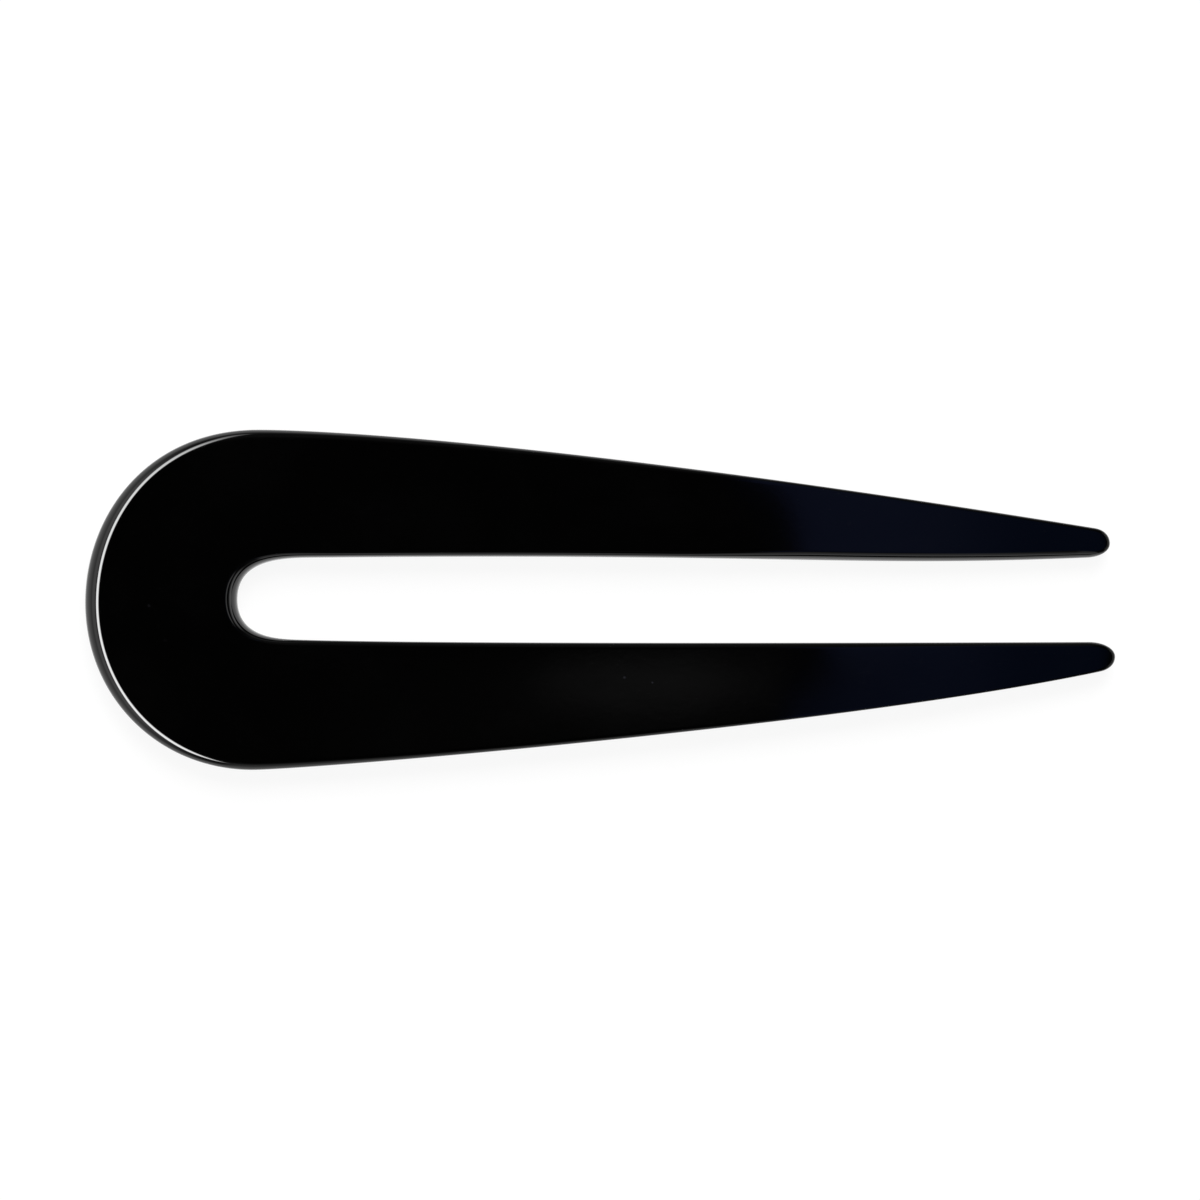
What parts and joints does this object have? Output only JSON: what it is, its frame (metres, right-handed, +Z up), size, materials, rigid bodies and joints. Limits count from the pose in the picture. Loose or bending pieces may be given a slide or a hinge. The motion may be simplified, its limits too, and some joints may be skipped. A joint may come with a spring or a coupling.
{
  "type": "hairpin",
  "caption": "One-piece U-shaped hairpin of polished black plastic: a broad round bend and tapering legs with blunt rounded tips either side of a long parallel slot.",
  "frame": {"origin": "middle of the pin's length and width, on the flat underside that it lies on", "axes": "+X from the bend towards the tips, +Y across the legs towards the slightly shorter one, +Z up through the thickness"},
  "size_m": [0.105, 0.0346, 0.004],
  "materials": {
    "black_acetate": "tumbled and polished cellulose acetate, high gloss"
  },
  "bodies": {
    "root": {"hairpin": "black_acetate"}
  },
  "joints": []
}
